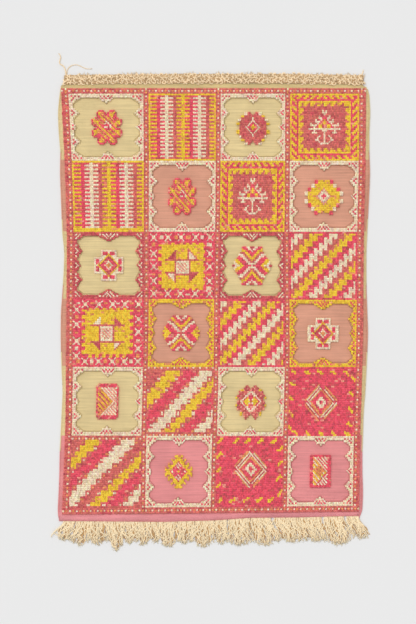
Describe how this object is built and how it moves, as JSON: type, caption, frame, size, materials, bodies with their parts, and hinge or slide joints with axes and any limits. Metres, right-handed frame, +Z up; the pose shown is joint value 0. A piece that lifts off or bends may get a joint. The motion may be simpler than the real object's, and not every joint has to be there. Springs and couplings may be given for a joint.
{
  "type": "berber rug",
  "caption": "Hand-knotted wool rug of square cells, sunk flat-woven windows between knotted pile, a knotted head band and a loose warp fringe; lies flat on a floor.",
  "frame": {"origin": "on the floor plane, under the middle of the whole rug with its fringe and yarn ends", "axes": "+Y towards the knotted head, +X to the right with the head away from the viewer, +Z up through the pile"},
  "size_m": [1.2716, 2.0002, 0.0105],
  "materials": {
    "woven_wool": "matt wool, knotted pile over a ribbed flat weave",
    "warp_fringe": "matt undyed plied wool",
    "knotted_head": "matt undyed wool, knotted and frayed"
  },
  "bodies": {
    "root": {"rug_body": "woven_wool", "fringe_foot": "warp_fringe", "fringe_head": "knotted_head"}
  },
  "joints": []
}
